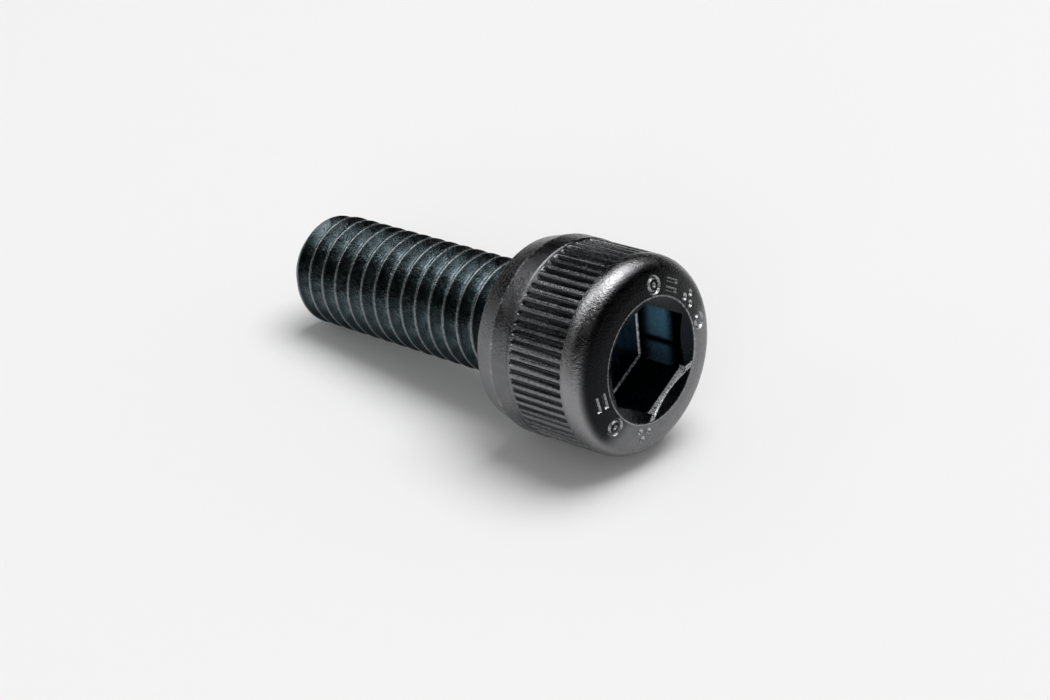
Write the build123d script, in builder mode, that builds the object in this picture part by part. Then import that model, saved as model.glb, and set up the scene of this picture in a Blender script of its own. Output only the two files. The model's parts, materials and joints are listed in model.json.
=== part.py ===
from build123d import *
from math import atan2, cos, floor, radians, sin, tan
import os

# Hexagon socket head cap screw, M6 x 16, of blackened alloy steel, forged and rolled as
# one piece. All sizes are in millimetres.
# It lies at rest on the plane Z = 0, on the rim of its head and on the last crest of its
# thread, so its axis leans up towards the head. X runs along the screw, head first.
# Stations along the axis are counted from the seat under the head: positive into the
# head, negative towards the tip.

# Head: a tapered back, a plain band, the knurl and a rounded shoulder
head_d = 10.0
head_h = 7.0
seat_d = 9.36
rim_at = 1.2
band_end = 2.2
knurl_d = 9.9
shoulder_r = 1.2
under_head_flare = 0.3

# Knurl: straight rolled grooves with sloping sides and ends
knurl_count = 64
knurl_from = 2.3
knurl_to = 5.72
knurl_depth = 0.14
knurl_root_w = 0.1
knurl_slope_angle = 40

# Hexagon socket, punched, with a countersunk mouth
socket_flats = 5.0
socket_depth = 3.1
mouth_d = 6.25
mouth_angle = 120
floor_cone_d = 3.4
floor_cone_h = 0.35

# Thread: M6 coarse, right-handed, rolled up to the head, where it fades into the neck
thread_length = 16.0
pitch = 1.0
thread_angle = 60
crest_d = 5.9
crest_w = 0.22
crest_below_axis = 0.1
tip_d = 4.6
tip_chamfer = 0.75
neck_d = 5.35
fade_from = -1.55
fade_to = -0.45
core_d = 4.2

head_r = head_d / 2
seat_r = seat_d / 2
knurl_r = knurl_d / 2
crest_r = crest_d / 2
tip_r = tip_d / 2
neck_r = neck_d / 2
core_r = core_d / 2
shoulder_at = head_h - shoulder_r

# Pose: the plane Z = 0 touches the rim of the head and the last full crest at the tip
full_thread = thread_length - tip_chamfer
turns_below = floor((full_thread + crest_below_axis) / pitch)
last_crest = turns_below * pitch - crest_below_axis + crest_w / 2
lean = atan2(head_r - crest_r, rim_at + last_crest)
along = Vector(cos(lean), 0, sin(lean))
above = Vector(-sin(lean), 0, cos(lean))

# The middle of the screw's length stands over the origin
front_x = shoulder_at * cos(lean) + (knurl_r - shoulder_r) * sin(lean) + shoulder_r
back_x = -thread_length * cos(lean) - tip_r * sin(lean)
seat_x = -(front_x + back_x) / 2
seat_z = head_r * cos(lean) - rim_at * sin(lean)

seat = Vector(seat_x, 0, seat_z)
screw_axis = Axis(seat, along)
across = Plane(seat, x_dir=above, z_dir=along)
lengthwise = Plane(seat, x_dir=along, z_dir=(0, -1, 0))


# Blank: the head with the neck below it, and a core that carries the thread
with BuildPart() as blank:
    with BuildSketch(lengthwise):
        with BuildLine():
            sides = Polyline(
                (-full_thread, 0),
                (-full_thread, core_r),
                (fade_from, core_r),
                (fade_to, neck_r),
                (0, neck_r),
                (0, seat_r),
                (rim_at, head_r),
                (band_end, head_r),
                (knurl_from, knurl_r),
                (shoulder_at, knurl_r),
            )
            shoulder = RadiusArc(sides @ 1, (head_h, knurl_r - shoulder_r), shoulder_r)
            Polyline(shoulder @ 1, (head_h, 0), sides @ 0)
        make_face()
    revolve(axis=screw_axis)
    rings = blank.edges().filter_by(GeomType.CIRCLE)
    at_seat = rings.filter_by(lambda ring: (ring.arc_center - seat).length < under_head_flare)
    chamfer(at_seat.sort_by(SortBy.RADIUS)[0], under_head_flare)


# Thread groove: a vee swept along the helix of its root, a turn at a time and past both
# ends of the thread. The helix begins straight above the axis, between two crests.
flank = tan(radians(thread_angle / 2))
root_r = crest_r - (pitch - crest_w) / 2 / flank
over_crest = 0.06
vee_h = crest_r - root_r + over_crest
turns = int(thread_length / pitch) + 2
start = seat - along * (thread_length + pitch - crest_below_axis)

with BuildPart() as vee:
    with BuildLine() as helix:
        for turn in range(turns):
            Helix(pitch, pitch, root_r, center=start + along * (turn * pitch), direction=along)
    path = helix.wire()
    outwards = (path @ 0 - start).normalized()
    with BuildSketch(Plane(path @ 0, x_dir=outwards, z_dir=path % 0)):
        with BuildLine():
            Polyline((0, 0), (vee_h, -vee_h * flank), (vee_h, vee_h * flank), close=True)
        make_face()
    sweep(path=path, is_frenet=True)

# Thread: the rolled length, chamfered at the tip and fading into the neck, less the vee
with BuildPart() as thread:
    with BuildSketch(lengthwise):
        with BuildLine():
            Polyline(
                (-thread_length, 0),
                (-thread_length, tip_r),
                (-full_thread, crest_r),
                (fade_from, crest_r),
                (fade_to, neck_r),
                (fade_to, 0),
                close=True,
            )
        make_face()
    revolve(axis=screw_axis)
    add(vee.part, mode=Mode.SUBTRACT)

# Knurl: one groove, a wedge that narrows from just outside the head down to its floor.
# It is drawn at the origin, with the screw's axis along Z.
slope = tan(radians(knurl_slope_angle))
outside = 0.05
deep = knurl_depth + outside
long_top = knurl_to - knurl_from + 2 * outside * slope
wide_top = knurl_root_w + 2 * deep * slope
groove_top = Plane(
    (knurl_r + outside, 0, (knurl_from + knurl_to) / 2),
    x_dir=(0, 1, 0),
    z_dir=(0, 0, 1),
)

with BuildPart() as groove:
    with Locations(groove_top):
        Wedge(
            wide_top,
            deep,
            long_top,
            deep * slope,
            deep * slope,
            wide_top - deep * slope,
            long_top - deep * slope,
            align=(Align.CENTER, Align.MIN, Align.CENTER),
        )

# The screw: thread on the blank, knurl in the head, and the socket in its face
with BuildPart() as cap_screw:
    add(blank.part)
    add(thread.part)

    with Locations(across):
        with PolarLocations(0, knurl_count, start_angle=180 / knurl_count):
            add(groove.part, mode=Mode.SUBTRACT)

    face = across.offset(head_h)
    with BuildSketch(face):
        RegularPolygon(socket_flats / 2, 6, major_radius=False, rotation=0)
    extrude(amount=-socket_depth, mode=Mode.SUBTRACT)

    mouth_h = mouth_d / 2 / tan(radians(mouth_angle / 2))
    with BuildSketch(lengthwise):
        Polygon(
            (head_h, 0),
            (head_h, mouth_d / 2),
            (head_h - mouth_h, 0),
            align=None,
        )
    revolve(axis=screw_axis, mode=Mode.SUBTRACT)

    with BuildSketch(lengthwise):
        Polygon(
            (head_h - socket_depth, 0),
            (head_h - socket_depth, floor_cone_d / 2),
            (head_h - socket_depth - floor_cone_h, 0),
            align=None,
        )
    revolve(axis=screw_axis, mode=Mode.SUBTRACT)

cap_screw.part.label = "cap_screw"

os.makedirs("parts", exist_ok=True)
export_step(cap_screw.part, "parts/cap_screw.step")
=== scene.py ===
# %% [markdown]
# # A blackened socket head cap screw on a pale table
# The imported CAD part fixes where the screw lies, how it leans and how large it is. This lesson
# models the same screw again with the soft edges that forging and rolling leave, gives it an
# oiled black oxide finish, and lights it as for a product photograph.

import json
import math
import random

import bpy
from mathutils import Matrix, Vector


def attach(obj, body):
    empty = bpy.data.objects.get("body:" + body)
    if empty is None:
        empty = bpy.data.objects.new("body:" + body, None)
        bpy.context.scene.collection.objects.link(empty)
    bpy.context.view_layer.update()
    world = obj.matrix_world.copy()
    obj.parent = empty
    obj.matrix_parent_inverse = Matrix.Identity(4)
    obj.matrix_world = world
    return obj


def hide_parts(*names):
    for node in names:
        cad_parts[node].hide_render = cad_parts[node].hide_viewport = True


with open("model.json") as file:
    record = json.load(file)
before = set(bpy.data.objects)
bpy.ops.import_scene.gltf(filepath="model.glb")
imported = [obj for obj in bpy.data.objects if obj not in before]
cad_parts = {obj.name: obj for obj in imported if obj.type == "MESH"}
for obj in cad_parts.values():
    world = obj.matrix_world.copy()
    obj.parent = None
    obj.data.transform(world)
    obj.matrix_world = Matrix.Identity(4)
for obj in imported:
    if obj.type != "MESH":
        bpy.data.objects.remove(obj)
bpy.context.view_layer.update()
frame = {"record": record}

# %% [markdown]
# ## Pose
# A screw is easiest to draw upright: its axis on Z, the underside of its head at height zero, in
# millimetres. One matrix then lays it in its real place. It is worked out from the mount that the
# record gives for the socket, so the drawn screw always lands on the CAD one. Stations are heights
# on the upright axis: positive in the head and negative in the shank.

# %% Find the pose
MM = 0.001
head_h = 7.0

mounts = {mount["name"]: mount for mount in frame["record"]["mounts"]}
face_centre = Vector(mounts["hex_socket"]["pos_m"])
along = Vector(mounts["hex_socket"]["axis"]).normalized()
above = Vector((-along.z, 0, along.x))
beside = along.cross(above)
seat = face_centre - head_h * MM * along
lying = Matrix((above, beside, along)).transposed().to_4x4()
lying.translation = seat
lying = lying @ Matrix.Scale(MM, 4)
print("the axis leans up by", round(math.degrees(math.asin(along.z)), 2), "degrees")

# %% [markdown]
# ## Soft corners
# Forging and rolling leave no sharp corner. Each form's section is written down as a few corners,
# each with a rounding of its own, and this helper puts an arc in every corner. A bevel on the
# finished mesh would be the other way, but it gives in where the faces beside an edge are short.

# %% Round an outline
def rounded(corners, steps):
    """Points of an outline whose corners (radius, height, rounding) become arcs."""
    points = [Vector(corners[0][:2])]
    for before, corner, after in zip(corners, corners[1:], corners[2:]):
        here = Vector(corner[:2])
        rounding = corner[2]
        if not rounding:
            points.append(here)
            continue
        back = (Vector(before[:2]) - here).normalized()
        on = (Vector(after[:2]) - here).normalized()
        half = back.angle(on) / 2
        reach = rounding / math.tan(half)
        middle = here + (back + on).normalized() * rounding / math.sin(half)
        start = here + back * reach - middle
        sweep = start.angle_signed(here + on * reach - middle)
        for i in range(steps + 1):
            points.append(middle + Matrix.Rotation(-sweep * i / steps, 2) @ start)
    points.append(Vector(corners[-1][:2]))
    return points


# %% [markdown]
# ## Turned forms
# Most of a screw is turned or rolled, so it is the same all round. The usual way is to draw half
# of its section as a line and to spin that line about the axis. The line is one vertex, extruded
# from point to point. Merging what coincides then closes the spin's seam and its poles.

# %% Draw and spin
merge_distance = 0.0005


def draw_line(name, points):
    """Extrudes one vertex along points given as (radius, height), and stays in edit mode."""
    bpy.ops.object.select_all(action="DESELECT")
    spots = [Vector((point[0], 0, point[1])) for point in points]
    bpy.ops.mesh.primitive_plane_add(size=0.1, location=spots[0])
    line = bpy.context.object
    line.name = name
    bpy.ops.object.transform_apply(location=True)
    bpy.ops.object.mode_set(mode="EDIT")
    bpy.ops.mesh.select_mode(type="VERT")
    bpy.ops.mesh.merge(type="CENTER")
    for here, there in zip(spots, spots[1:]):
        bpy.ops.mesh.extrude_region_move(TRANSFORM_OT_translate={"value": there - here})
    return line


def turned(name, points, steps):
    """A solid of revolution about Z, from an outline that closes itself or on the axis."""
    piece = draw_line(name, points)
    bpy.ops.mesh.select_all(action="SELECT")
    bpy.ops.mesh.spin(steps=steps, angle=math.tau, center=(0, 0, 0), axis=(0, 0, 1))
    bpy.ops.mesh.select_all(action="SELECT")
    bpy.ops.mesh.remove_doubles(threshold=merge_distance)
    bpy.ops.mesh.normals_make_consistent(inside=False)
    bpy.ops.object.mode_set(mode="OBJECT")
    print(name, "turned:", len(piece.data.polygons), "faces")
    return piece


# %% [markdown]
# ## The head
# The head is cold-forged: a tapered back, a plain band, the stretch that carries the knurl and a
# rounded shoulder. Its face is very slightly domed and ends in a countersink that leads the key
# in. The head is spun with as many segments as the knurl has grooves, so that each face of the
# knurled stretch can become one groove.

# %% Turn the head
knurl_count = 64
head_r = 4.998
seat_r = 4.68
rim_at = 1.2
band_end = 2.2
knurl_r = 4.95
knurl_from = 2.3
knurl_to = 5.72
shoulder_low = head_h - 0.42
shoulder_r = 1.05
face_r = 3.7
face_at = head_h - 0.09
neck_r = 2.675
neck_fillet = 0.28
inside_head = -0.45
mouth_r = 3.125
sink_slope = math.tan(math.radians(60))
sink_floor_r = 2.2
sink_floor = head_h - (mouth_r - sink_floor_r) / sink_slope

head_outline = rounded([
    (0, inside_head, 0),
    (neck_r, inside_head, 0),
    (neck_r, 0, neck_fillet),
    (seat_r, 0, 0.06),
    (head_r, rim_at, 0.12),
    (head_r, band_end, 0.03),
    (knurl_r, knurl_from, 0),
    (knurl_r, knurl_to, 0),
    (knurl_r, shoulder_low, shoulder_r),
    (face_r, face_at, 3),
    (mouth_r, head_h - 0.002, 0.05),
    (sink_floor_r, sink_floor, 0),
    (0, sink_floor, 0),
], steps=8)
head = turned("head", head_outline, knurl_count)

# %% [markdown]
# ## The knurl
# A knurling wheel presses straight grooves with sloping sides and rounded ends. On each face of
# the knurled stretch, an inset leaves the land between two grooves, and a vertex bevel rounds the
# groove's ends. Three more insets go down to its floor. Cutting 64 grooves with a Boolean would
# also work, but insets keep the mesh clean and are quick.

# %% Press the grooves
land_half = 0.07
end_rounding = 0.1
groove_steps = ((0.045, 0.035), (0.055, 0.075), (0.03, 0.012))
chord_r = knurl_r * math.cos(math.pi / knurl_count)


def select_where(piece, kind, wanted):
    """Selects the faces or edges that are wanted, stays in edit mode and gives their number."""
    bpy.ops.object.mode_set(mode="EDIT")
    bpy.ops.mesh.select_mode(type=kind)
    bpy.ops.mesh.select_all(action="DESELECT")
    bpy.ops.object.mode_set(mode="OBJECT")
    elements = piece.data.polygons if kind == "FACE" else piece.data.edges
    for element in elements:
        element.select = wanted(element)
    count = sum(element.select for element in elements)
    bpy.ops.object.mode_set(mode="EDIT")
    return count


def on_strip(face, margin):
    """True for a face of the knurled stretch whose middle lies well within its ends."""
    out = math.hypot(face.center.x, face.center.y)
    within = knurl_from + margin < face.center.z < knurl_to - margin
    return within and abs(out - chord_r) < 0.05


def sector(place):
    """Where a place lies round the axis, counted in grooves."""
    return math.atan2(place.y, place.x) / math.tau * knurl_count


def is_groove(face):
    """True for the large middle face that the inset and the bevel leave for a groove."""
    return on_strip(face, 1) and abs(sector(face.center) % 1 - 0.5) < 0.05


strip = select_where(head, "FACE", lambda face: on_strip(face, 0.5))
bpy.ops.mesh.inset(thickness=land_half, use_individual=True)
bpy.ops.mesh.bevel(offset=end_rounding, segments=3, affect="VERTICES")
grooves = select_where(head, "FACE", is_groove)
for narrower, deeper in groove_steps:
    bpy.ops.mesh.inset(thickness=narrower, depth=-deeper, use_individual=True)
bpy.ops.object.mode_set(mode="OBJECT")
print("knurl:", strip, "faces,", grooves, "grooves")

# %% [markdown]
# ## An uneven bite
# A real wheel never bites quite evenly, and a knurl of equal grooves looks drawn. Each groove's
# floor is moved in or out by a chance amount of up to a fiftieth of a millimetre. The chance is
# seeded, so the screw comes out the same each time.

# %% Vary the grooves' depth
uneven = 0.02
wheel = random.Random(7)
bite = [wheel.uniform(-uneven, uneven) for _ in range(knurl_count)]
moved = 0
for vertex in head.data.vertices:
    out = math.hypot(vertex.co.x, vertex.co.y)
    if knurl_from < vertex.co.z < knurl_to and out < chord_r - 0.03:
        pull = 1 + bite[int(sector(vertex.co) % knurl_count)] / out
        vertex.co.x *= pull
        vertex.co.y *= pull
        moved += 1
print("knurl:", moved, "vertices moved by up to", uneven, "mm")

# %% [markdown]
# ## The socket
# The hexagon is punched, so a tool in the shape of the punch cuts it with a Boolean. The punch's
# uprights and the edges of its end are bevelled first, since a real one leaves a small radius in
# the corners, and that radius is what catches the light. Behind the hexagon, the punch's point
# leaves a shallow cone, which a second, turned tool cuts.

# %% Punch the hexagon
socket_flats = 5.0
socket_depth = 3.1
socket_floor = head_h - socket_depth
floor_cone_r = 1.7
floor_cone_h = 0.35
punch_h = socket_depth + 0.5


def cut(piece, tool):
    """Takes the tool's shape out of the piece and throws the tool away."""
    bpy.ops.object.select_all(action="DESELECT")
    bpy.context.view_layer.objects.active = piece
    piece.select_set(True)
    step = piece.modifiers.new("cut", "BOOLEAN")
    step.operation = "DIFFERENCE"
    step.solver = "EXACT"
    step.object = tool
    bpy.ops.object.modifier_apply(modifier=step.name)
    bpy.data.objects.remove(tool)


def reaches_end(edge):
    """True for an edge of the punch's end and for the uprights that meet it."""
    heights = [punch.data.vertices[number].co.z for number in edge.vertices]
    return min(heights) < socket_floor + 0.01


bpy.ops.object.select_all(action="DESELECT")
bpy.ops.mesh.primitive_cylinder_add(
    vertices=6,
    radius=socket_flats / 2 / math.cos(math.pi / 6),
    depth=punch_h,
    location=(0, 0, socket_floor + punch_h / 2),
    rotation=(0, 0, math.radians(90)),
)
punch = bpy.context.object
bpy.ops.object.transform_apply(location=True, rotation=True)
select_where(punch, "EDGE", reaches_end)
bpy.ops.mesh.bevel(offset=0.1, segments=3)
bpy.ops.object.mode_set(mode="OBJECT")
cut(head, punch)

point = turned("punch point", [
    (0, socket_floor - floor_cone_h),
    (floor_cone_r, socket_floor),
    (floor_cone_r, socket_floor + 0.2),
    (0, socket_floor + 0.2),
], 48)
cut(head, point)
print("head with its socket:", len(head.data.polygons), "faces")

# %% [markdown]
# ## The worn mouth
# Keys have rubbed the edge where the six walls meet the countersink. A bevel rounds it, and the
# rounded edge later catches the lamp as a bright line. Its edges are found by their place: both
# ends lie on a wall and on the cone.

# %% Round the mouth's edge
def wall_distance(place):
    """How far out a place lies, measured towards the wall that it is nearest to."""
    sides = [math.radians(30 + 60 * i) for i in range(6)]
    return max(place.x * math.cos(side) + place.y * math.sin(side) for side in sides)


def on_mouth_edge(edge):
    """True where a wall of the hexagon meets the countersink."""
    for number in edge.vertices:
        place = head.data.vertices[number].co
        cone = head_h - (mouth_r - math.hypot(place.x, place.y)) / sink_slope
        if abs(wall_distance(place) - socket_flats / 2) > 0.004 or abs(place.z - cone) > 0.01:
            return False
    return True


rubbed = select_where(head, "EDGE", on_mouth_edge)
bpy.ops.mesh.bevel(offset=0.07, segments=3, clamp_overlap=True)
bpy.ops.object.mode_set(mode="OBJECT")
print("mouth:", rubbed, "edges rounded")

# %% [markdown]
# ## Tools for the marks
# A die mark has slopes that catch the light, not sawn walls, so each tool is narrower at its end
# than at its top. Rings and dots are turned. A bar is a block whose lower face is made smaller.
# The tools are drawn at the origin, with the head's surface at height zero.

# %% Shape the tools
mark_depth = 0.12
mark_top = 0.08


def ring_tool(radius):
    """A ring-shaped tool with sloping sides."""
    tip_half, top_half = 0.03, 0.17
    return turned("ring", [
        (radius - tip_half, -mark_depth),
        (radius + tip_half, -mark_depth),
        (radius + top_half, mark_top),
        (radius - top_half, mark_top),
        (radius - tip_half, -mark_depth),
    ], 32)


def dot_tool(radius):
    """A round tool with sloping sides."""
    return turned("dot", [
        (0, -mark_depth),
        (radius * 0.4, -mark_depth),
        (radius * 1.3, mark_top),
        (0, mark_top),
    ], 16)


def bar_tool(length):
    """A bar-shaped tool with sloping sides, at right angles to the radius."""
    top_w, tip_w, slopes = 0.34, 0.08, 0.26
    bpy.ops.object.select_all(action="DESELECT")
    bpy.ops.mesh.primitive_cube_add(
        size=1,
        location=(0, 0, (mark_top - mark_depth) / 2),
        scale=(top_w, length, mark_top + mark_depth),
    )
    bar = bpy.context.object
    bpy.ops.object.transform_apply(location=True, scale=True)
    select_where(bar, "FACE", lambda face: face.normal.z < -0.9)
    bpy.ops.transform.resize(value=(tip_w / top_w, (length - slopes) / length, 1))
    bpy.ops.object.mode_set(mode="OBJECT")
    return bar


# %% [markdown]
# ## Marks on the face
# Two groups of plain rings, dots and bars are sunk in the face. Each tool is tilted to follow the
# dome, turned to its place round the axis and cut with the same Boolean as the socket. Angles
# count from the top of the lying head.

# %% Stamp the marks
mark_r = 3.68
dome_tilt = math.radians(11)


def stamp(tool, angle, out=0.0, round_by=0.0):
    """Sinks a tool in the face, at an angle about the axis and offset from its middle line."""
    there = (
        Matrix.Rotation(math.radians(angle), 4, "Z")
        @ Matrix.Translation((mark_r, 0, face_at))
        @ Matrix.Rotation(dome_tilt, 4, "Y")
        @ Matrix.Translation((out, round_by, 0))
    )
    tool.data.transform(there)
    cut(head, tool)


for angle in (-9, 130):
    stamp(ring_tool(0.38), angle)
    stamp(dot_tool(0.14), angle)
for angle in (-30, 103):
    for out in (-0.22, 0.22):
        stamp(bar_tool(0.95), angle, out)
for angle in (-54, 165):
    for out, round_by in ((0.24, 0), (-0.2, 0.3), (-0.2, -0.3)):
        stamp(dot_tool(0.22), angle, out, round_by)
stamp(ring_tool(0.34), -79)
print("head with its marks:", len(head.data.polygons), "faces")

# %% [markdown]
# ## Noting where the marks are
# The finish will show a little bare metal on the slopes of the marks. A material can't tell a
# mark from the face around it by place alone, so each face of the mesh carries a number: 1 where
# it leans away from the dome, 0 elsewhere.

# %% Note the marks' slopes
stamped = head.data.attributes.new("stamped", "FLOAT", "FACE")
for face in head.data.polygons:
    out = math.hypot(face.center.x, face.center.y)
    if 3.17 < out < 4.3 and face.center.z > 6.2:
        outwards = Vector((face.center.x, face.center.y, 0)).normalized()
        dome = outwards * math.sin(dome_tilt) + Vector((0, 0, math.cos(dome_tilt)))
        stamped.data[face.index].value = float(face.normal.angle(dome) > math.radians(25))
print("marks:", sum(1 for one in stamped.data if one.value), "sloping faces")

# %% [markdown]
# ## The thread
# Rolling squeezes the shank between dies, so roots and crests come out rounded. The Screw
# modifier winds one pitch of the section up the axis, right-handed, and the turns are merged.
# Spinning rings would be simpler, but a nut would not run on them. The winding starts where the
# CAD thread has a crest straight above the axis, runs past both ends and is then cut square.

# %% Wind the thread
pitch = 1.0
crest_r = 2.945
crest_half = 0.08
crest_rounding = 0.11
root_r = 2.44
root_half = 0.11
root_rounding = 0.19
thread_end = -16.0
thread_top = -0.35
crest_above = -0.4
turns = 18
winding_start = crest_above + pitch / 2 - turns * pitch

section = rounded([
    (root_r, 0, 0),
    (root_r, root_half, root_rounding),
    (crest_r, pitch / 2 - crest_half, crest_rounding),
    (crest_r, pitch / 2 + crest_half, crest_rounding),
    (root_r, pitch - root_half, root_rounding),
    (root_r, pitch, 0),
], steps=4)
thread = draw_line("thread", [(out, winding_start + height) for out, height in section])
bpy.ops.object.mode_set(mode="OBJECT")
winding = thread.modifiers.new("winding", "SCREW")
winding.axis = "Z"
winding.angle = math.tau
winding.screw_offset = pitch
winding.iterations = turns
winding.steps = 72
winding.render_steps = 72
winding.use_merge_vertices = False
bpy.ops.object.modifier_apply(modifier=winding.name)

bpy.ops.object.mode_set(mode="EDIT")
bpy.ops.mesh.select_all(action="SELECT")
bpy.ops.mesh.remove_doubles(threshold=merge_distance)
for height, side in ((thread_end, -1), (thread_top, 1)):
    plane = {"plane_co": (0, 0, height), "plane_no": (0, 0, side)}
    bpy.ops.mesh.bisect(use_fill=True, clear_outer=True, **plane)
    bpy.ops.mesh.select_all(action="SELECT")
bpy.ops.mesh.normals_make_consistent(inside=False)
bpy.ops.object.mode_set(mode="OBJECT")
print("thread wound:", len(thread.data.polygons), "faces")

# %% [markdown]
# ## Both ends of the thread
# The tip is chamfered before rolling, so the first turns rise out of a cone. Under the head the
# dies leave off, and the last turn fades into the plain neck. Cutting the cone with a Boolean
# would leave a hard edge. Moving each vertex in or out instead gives both ends their soft change.

# %% Chamfer the tip and fade into the neck
tip_r = 2.3
tip_chamfer = 0.75
chamfer_blend = 0.12
fade_from = -1.55
fade_to = -0.45
within_neck = neck_r - 0.01


def softly_least(a, b, blend):
    """The smaller of two numbers, with a soft corner where they are alike."""
    share = max(blend - abs(a - b), 0) / blend
    return min(a, b) - share * share * blend / 4


for vertex in thread.data.vertices:
    out = math.hypot(vertex.co.x, vertex.co.y)
    cone = tip_r + (vertex.co.z - thread_end) * (crest_r - tip_r) / tip_chamfer
    wanted = softly_least(out, cone, chamfer_blend)
    fade = min(max((vertex.co.z - fade_from) / (fade_to - fade_from), 0), 1)
    fade = fade * fade * (3 - 2 * fade)
    wanted += (within_neck - wanted) * fade
    vertex.co.x *= wanted / out
    vertex.co.y *= wanted / out
print("thread: ends at", tip_r, "mm radius, fades over", round(fade_to - fade_from, 2), "mm")

# %% [markdown]
# ## One piece, in its place
# The real screw is one piece of steel, so head and thread are joined. The matrix lays them in
# place, and applying it keeps the object itself at the origin. Smooth shading by angle rounds the
# curved forms and still breaks at the sharp edges.

bpy.ops.object.select_all(action="DESELECT")
thread.select_set(True)
head.select_set(True)
bpy.context.view_layer.objects.active = head
bpy.ops.object.join()
screw = bpy.context.object
screw.name = "screw"
screw.matrix_world = lying
bpy.ops.object.transform_apply(location=True, rotation=True, scale=True)
bpy.ops.object.shade_smooth_by_angle(angle=math.radians(38))
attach(screw, "root")
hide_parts("cap_screw")
print("screw:", sum(len(face.vertices) - 2 for face in screw.data.polygons), "triangles")

# %% [markdown]
# ## Shader arithmetic
# The finish depends on where a point lies on the screw: its station along the axis and its
# distance from it. That takes many small sums, and placing their nodes one by one hides what they
# say. A small class wraps the output of a node, so that such sums can be written as arithmetic.

# %% A value in a node tree
class Value:
    """An output of a node. Arithmetic on it adds Math nodes to the same tree."""

    def __init__(self, tree, socket):
        self.tree = tree
        self.socket = socket

    def node(self, kind, settings, values, output=0):
        """Adds a node, changes its settings, then fills its inputs with numbers or links."""
        made = self.tree.nodes.new(kind)
        for name, setting in settings.items():
            setattr(made, name, setting)
        for name, given in values.items():
            if isinstance(given, Value):
                self.tree.links.new(given.socket, made.inputs[name])
            else:
                made.inputs[name].default_value = given
        return Value(self.tree, made.outputs[output])

    def feed(self, shader, name):
        """Links this value to an input of a shader."""
        self.tree.links.new(self.socket, shader.inputs[name])

    def math(self, operation, *others):
        """A Math node on this value and others."""
        given = dict(enumerate((self,) + others))
        return self.node("ShaderNodeMath", {"operation": operation}, given)

    def __add__(self, other):
        return self.math("ADD", other)

    def __radd__(self, other):
        return self.math("ADD", other)

    def __sub__(self, other):
        return self.math("SUBTRACT", other)

    def __rsub__(self, other):
        return (self * -1).math("ADD", other)

    def __mul__(self, other):
        return self.math("MULTIPLY", other)

    def __rmul__(self, other):
        return self.math("MULTIPLY", other)

    def dot(self, direction):
        """The part of a vector that lies along a fixed direction."""
        values = {0: self, 1: tuple(direction)}
        return self.node("ShaderNodeVectorMath", {"operation": "DOT_PRODUCT"}, values, "Value")

    def step(self, low, high):
        """Rises softly from 0 at low to 1 at high, or falls if high is the smaller one."""
        values = {"Value": self, "From Min": min(low, high), "From Max": max(low, high)}
        if low > high:
            values.update({"To Min": 1.0, "To Max": 0.0})
        return self.node("ShaderNodeMapRange", {"interpolation_type": "SMOOTHSTEP"}, values)

    def near(self, place, half, soft):
        """1 within a distance of a place, falling softly to 0 beyond it."""
        return (self - place).math("ABSOLUTE").step(half + soft, half)

    def noise(self, scale, detail, roughness=0.5):
        """Smooth noise in a space measured in millimetres, about 0 to 1."""
        values = {"Vector": self, "Scale": scale, "Detail": detail, "Roughness": roughness}
        return self.node("ShaderNodeTexNoise", {}, values)

    def tint(self, first, second):
        """Goes from a first colour at 0 to a second one at 1."""
        values = {0: self, 6: first, 7: second}
        return self.node("ShaderNodeMix", {"data_type": "RGBA"}, values, 2)


# %% [markdown]
# ## Places on the screw
# The material first finds out where on the screw a point lies. Object coordinates give its place
# in metres. Dot products with the pose's three directions turn that into a station, a height and
# a distance sideways, and the masks for thread, knurl, shoulder and socket follow from those.

# %% Station, radius and masks
finish = bpy.data.materials.new("black_oxide")
finish.use_nodes = True
tree = finish.node_tree
shader = tree.nodes["Principled BSDF"]
space = Value(tree, tree.nodes.new("ShaderNodeTexCoord").outputs["Object"])

to_mm = {0: space, "Scale": 1 / MM}
millimetres = space.node("ShaderNodeVectorMath", {"operation": "SCALE"}, to_mm)
offset = seat / MM
station = millimetres.dot(along) - offset.dot(along)
height = millimetres.dot(above) - offset.dot(above)
aside = millimetres.dot(beside) - offset.dot(beside)
radius = (height * height + aside * aside).math("SQRT")


def towards(angle):
    """How far a point lies from the axis in one direction of the face."""
    turn = math.radians(angle)
    return height * math.cos(turn) + aside * math.sin(turn)


outer = radius.step(4.0, 4.2)
on_thread = station.step(-0.2, -0.7)
on_end = station.step(-15.9, -15.97)
on_knurl = outer * station.near((knurl_from + knurl_to) / 2, 1.65, 0.1)
on_shoulder = outer * station.near(6.15, 0.3, 0.25)
# Painted shade: this mask darkens the knurl's grooves.
groove_painted_shade = on_knurl * radius.step(4.93, 4.87)
# The mouth and socket masks also darken those recesses as painted shade.
in_mouth = radius.step(3.1, 3.05) * station.step(3.2, 3.6)
in_socket = in_mouth * station.step(6.5, 6.3)
print("places:", len(tree.nodes), "nodes")

# %% [markdown]
# ## Grain
# Black oxide shows the surface beneath it. Four noises stand for what is there: the fine grain
# that forging and heat leave, specks of grit, the patches in which oil lies, and the slow ripple
# that the dies leave on the thread. Image textures could hold all this, but a noise has no seam
# and no end.

# %% Noises
grain = millimetres.noise(9.0, 3.0, 0.6)
speck = millimetres.noise(16.0, 1.0)
patches = millimetres.noise(0.9, 3.0, 0.6)
ripple = millimetres.noise(1.7, 1.0, 0.4)
print("grain:", len(tree.nodes), "nodes so far")
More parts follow.
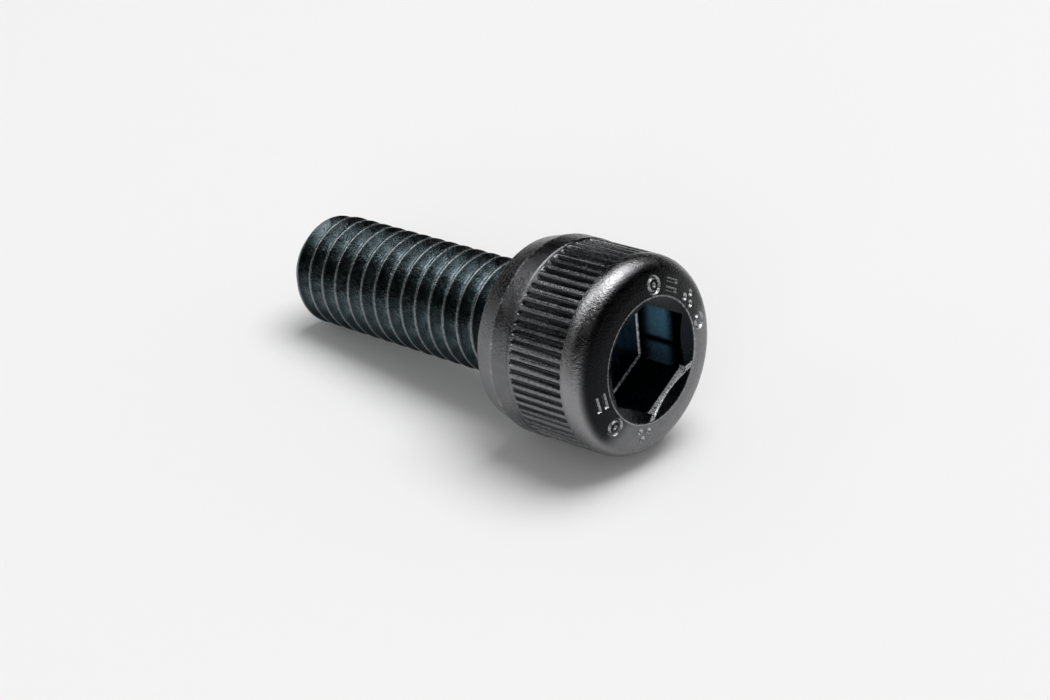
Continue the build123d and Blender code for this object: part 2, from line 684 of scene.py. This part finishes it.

# %% [markdown]
# ## Wear and painted highlights
# The oxide is a thousandth of a millimetre thick and rubs off where other steel touches it: on
# the thread's crests and the last turn near the neck, the rim, the ridges of the knurl, the mouth
# and the slopes of the marks. In the socket, a bright line near the top of one wall and lines
# along the floor edges of two walls are painted highlights, drawn in the same bare steel. Each
# is a mask for its place, broken up by a noise.

# %% Bare edges and painted highlights
crest_wear = on_thread * radius.step(2.905, 2.94) * speck.step(0.3, 0.55) * (0.3 + 0.7 * patches)
neck_wear = station.near(-1.0, 0.5, 0.4) * radius.near(2.8, 0.1, 0.1) * grain.step(0.52, 0.66)
rim_wear = radius.step(4.9, 4.97) * station.near(rim_at, 0.05, 0.05) * speck.step(0.35, 0.55)
rim_wear = rim_wear * (0.2 + 0.8 * patches.step(0.5, 0.62))
ridge_wear = on_knurl * radius.step(4.925, 4.945) * grain.step(0.4, 0.65)
mouth_wear = radius.near(mouth_r, 0.02, 0.04) * station.step(6.8, 6.9) * grain.step(0.3, 0.6)
on_mark = space.node("ShaderNodeAttribute", {"attribute_name": "stamped"}, {}, "Fac")
mark_wear = on_mark * speck.step(0.25, 0.5)
# Painted highlight: a bright line near the top of one socket wall.
socket_top_highlight = in_mouth * towards(-150).near(2.49, 0.08, 0.04)
socket_top_highlight = socket_top_highlight * station.step(6.4, 6.5) * speck.step(0.3, 0.5)
# Painted highlights: lines along the floor edges of two socket walls.
wall = towards(-150).math("MAXIMUM", towards(-90))
socket_floor_highlight = in_mouth * wall.step(2.36, 2.42) * station.step(4.02, 3.98)
socket_floor_highlight = socket_floor_highlight * (0.5 + 0.5 * grain.step(0.4, 0.6))

# Real wear and the painted highlights together.
wear_and_highlights = crest_wear * 0.45 + neck_wear * 0.4 + rim_wear * 0.5 + ridge_wear * 0.2
wear_and_highlights = wear_and_highlights + mouth_wear * 0.4 + mark_wear * 0.7 + socket_top_highlight + socket_floor_highlight
wear_and_highlights = wear_and_highlights.math("MINIMUM", 1.0)
print("wear:", len(tree.nodes), "nodes so far")

# %% [markdown]
# ## Painted shade and painted light
# The upper part of the face is darkened as painted shade. On the wall on the far side of the
# socket, two blue patches that grow brighter towards the top are painted light; they are half
# diffuse, so that the lamps light them.

# %% Painted shade on the face and painted light in the socket
# Painted shade: darkens the upper part of the face.
face_painted_shade = station.step(6.4, 6.75) * towards(30).step(-1.7, -0.5)
# Painted light: two blue patches on the far wall of the socket, brighter towards the top.
socket_painted_light = in_socket * towards(-90).step(2.4, 2.46) * station.step(4.1, 4.9) * station.step(6.3, 5.6)
socket_painted_light = socket_painted_light * (1 - height.near(-0.3, 0.03, 0.25)) * (0.4 + 0.6 * height.step(-1.4, 1.0))
print("oil:", len(tree.nodes), "nodes so far")

# %% [markdown]
# ## Colours of the finish
# Black oxide is a glassy layer that mirrors its surroundings weakly, a little blue, and shows
# black where they are dark. As a metal in the shader, its base colour is how strongly it mirrors:
# more on the smooth shoulder. In the grooves of the knurl, the mouth and the socket it is made
# darker as painted shade, for the light lost between the walls, and in the socket it is tinted
# blue. The upper part of the face is darkened as painted shade, the blue patches on the far wall
# of the socket are painted light, and the bright lines in the socket are painted highlights. The
# thread's roots stay brighter than its flanks. The colours are laid one over another, each
# through its mask, with bare steel and the painted highlights last.

# %% Lay the colours
dark_oxide = (0.13, 0.132, 0.138, 1)
light_oxide = (0.165, 0.165, 0.17, 1)
dark_flank = (0.026, 0.036, 0.04, 1)
light_root = (0.11, 0.145, 0.158, 1)

in_root = radius.step(2.85, 2.52)
root_light = (0.35 + 0.65 * ripple.step(0.35, 0.65)) * (0.2 + 0.8 * in_root)
thread_oxide = root_light.tint(dark_flank, light_root)
surface = patches.step(0.35, 0.65).tint(dark_oxide, light_oxide)
for mask, colour in (
    (on_shoulder, (0.25, 0.25, 0.255, 1)),
    (on_thread, thread_oxide),
    (on_end, (0.05, 0.063, 0.068, 1)),
    # painted shade in the knurl's grooves
    (groove_painted_shade, (0.04, 0.042, 0.045, 1)),
    # painted shade on the upper part of the face
    (face_painted_shade, (0.012, 0.0125, 0.0135, 1)),
    # painted shade in the mouth
    (in_mouth, (0.012, 0.014, 0.016, 1)),
    # painted shade in the socket, tinted blue
    (in_socket, (0.03, 0.055, 0.075, 1)),
    # painted light on the far wall of the socket
    (socket_painted_light, (0.09, 0.22, 0.32, 1)),
    # bare steel of the wear, and the painted highlights in the socket
    (wear_and_highlights, (0.62, 0.64, 0.64, 1)),
):
    surface = mask.tint(surface, colour)
surface.feed(shader, "Base Color")
print("colours:", len(tree.nodes), "nodes so far")

# %% [markdown]
# ## Shine and relief
# Where the steel is rubbed, and where the painted highlights lie, it is dull, and the painted
# light on the far wall of the socket is half diffuse, so all of these take the metal down. Oil
# patches and grain change the roughness. The relief is a bump and not geometry, because it is only
# a fiftieth of a millimetre high. It is kept low in the socket, where it would break up the soft
# patches of painted light.

# %% Metal, roughness and bump
# The painted light in the socket is made half diffuse, so that the lamps light it.
metallic = 1 - 0.5 * wear_and_highlights - 0.7 * socket_painted_light
metallic.feed(shader, "Metallic")
rough = 0.15 + 0.12 * patches.step(0.35, 0.7) + 0.08 * grain
rough.feed(shader, "Roughness")
relief = grain * 0.022 + speck * 0.017 + on_thread * ripple * 0.035
relief = relief * (1 - 0.6 * in_socket)
bump = space.node("ShaderNodeBump", {}, {"Strength": 1.0, "Distance": MM, "Height": relief})
bump.feed(shader, "Normal")
screw.data.materials.clear()
screw.data.materials.append(finish)
print("finish:", len(tree.nodes), "nodes")

# %% [markdown]
# ## Camera
# The camera stands above and beside the head, and looks down at it with no roll. Its direction
# and its lens were found by fitting a pinhole camera to the rings of the head in the photograph.
# Placing it from the middle of the head's face keeps that point where it belongs in the frame.

# %% Camera
azimuth = math.radians(43.4)
elevation = math.radians(28.95)
right = Vector((math.cos(azimuth), math.sin(azimuth), 0))
back = Vector((
    math.sin(azimuth) * math.cos(elevation),
    -math.cos(azimuth) * math.cos(elevation),
    math.sin(elevation),
))
up = back.cross(right)
face_in_view = Vector((6.0, -0.5, -103.55)) * MM
camera_at = face_centre - right * face_in_view.x - up * face_in_view.y - back * face_in_view.z

frame_px = 1050
focal_px = 2200
lens = bpy.data.cameras.new("camera")
lens.sensor_width = 36
lens.lens = focal_px / frame_px * lens.sensor_width
lens.clip_start = 0.01
lens.clip_end = 10
camera = bpy.data.objects.new("camera", lens)
camera.matrix_world = Matrix((right, up, back)).transposed().to_4x4()
camera.location = camera_at
bpy.context.collection.objects.link(camera)
bpy.context.scene.camera = camera
print("camera at", tuple(camera_at))

# %% [markdown]
# ## Table
# A sheet of pale, quite dull paper is the table. It is so wide that its edge lies far behind the
# screw, and it has no shine of its own, so that only the shadow is seen on it.

# %% Table
table_w = 4
bpy.ops.object.select_all(action="DESELECT")
bpy.ops.mesh.primitive_plane_add(size=table_w, location=(0, 0, 0))
table = bpy.context.object
table.name = "table"
paper = bpy.data.materials.new("paper")
paper.use_nodes = True
sheet = paper.node_tree.nodes["Principled BSDF"]
sheet.inputs["Base Color"].default_value = (0.8, 0.8, 0.8, 1)
sheet.inputs["Roughness"].default_value = 1.0
sheet.inputs["Specular IOR Level"].default_value = 0
table.data.materials.append(paper)
print("table:", table_w, "m wide")

# %% [markdown]
# ## The room
# The room's light softens the shadow. Black metal is drawn by what it mirrors, and a pale room
# would turn it grey, so mirrored rays find the room almost black. The camera sees it as pale as
# the table. Light Path tells the three kinds of ray apart.

# %% Room
room_light = 0.31
room_in_mirror = 0.01
room_in_view = 0.9
world = bpy.data.worlds.new("studio")
bpy.context.scene.world = world
world.use_nodes = True
sky = world.node_tree.nodes["Background"]
sky.inputs["Color"].default_value = (1, 1, 1, 1)
rays = world.node_tree.nodes.new("ShaderNodeLightPath")
mirrored = Value(world.node_tree, rays.outputs["Is Glossy Ray"])
seen = Value(world.node_tree, rays.outputs["Is Camera Ray"])
brightness = room_light + (room_in_mirror - room_light) * mirrored
brightness = brightness + (room_in_view - room_light) * seen
brightness.feed(sky, "Strength")
bpy.context.scene.view_settings.view_transform = "Standard"
print("room: light", room_light, "and", room_in_mirror, "in mirrored rays")

# %% [markdown]
# ## Lamps
# Round softboxes face the screw. The key hangs almost overhead and leans back: it whitens the
# table and throws the soft shadow forwards. A weak card on the left lifts the blacks there. The
# front fill only lightens the shadow, so it isn't mirrored. Two strips light nothing and are only
# mirrored: one draws the bright crescent on the head's shoulder, the other the streaks on the
# thread.

# %% Lamps
def softbox(name, azimuth, elevation, distance, width, brightness):
    """A round lamp in a direction given in degrees, facing the screw."""
    bulb = bpy.data.lights.new(name, "AREA")
    bulb.shape = "DISK"
    bulb.size = width
    bulb.energy = brightness * math.pi * math.pi * (width / 2) ** 2
    lamp = bpy.data.objects.new(name, bulb)
    turn, rise = math.radians(azimuth), math.radians(elevation)
    flat = Vector((math.cos(turn), math.sin(turn), 0))
    away = flat * math.cos(rise) + Vector((0, 0, math.sin(rise)))
    lamp.location = away * distance
    lamp.rotation_euler = away.to_track_quat("Z", "Y").to_euler()
    bpy.context.collection.objects.link(lamp)
    print(name, "gives", round(bulb.energy, 2), "W")
    return lamp


softbox("key", 70, 75, 1.0, 0.81, 5.4)
softbox("left card", 245, 28, 0.8, 0.35, 0.6)
front_fill = softbox("front fill", 300, 20, 1.0, 0.54, 3.2)
front_fill.visible_glossy = False
crescent_strip = softbox("crescent strip", 215, 60, 1.0, 0.5, 4.5)
crescent_strip.visible_diffuse = False
flank_strip = softbox("flank strip", 35, 50, 1.0, 0.32, 4.0)
flank_strip.visible_diffuse = False
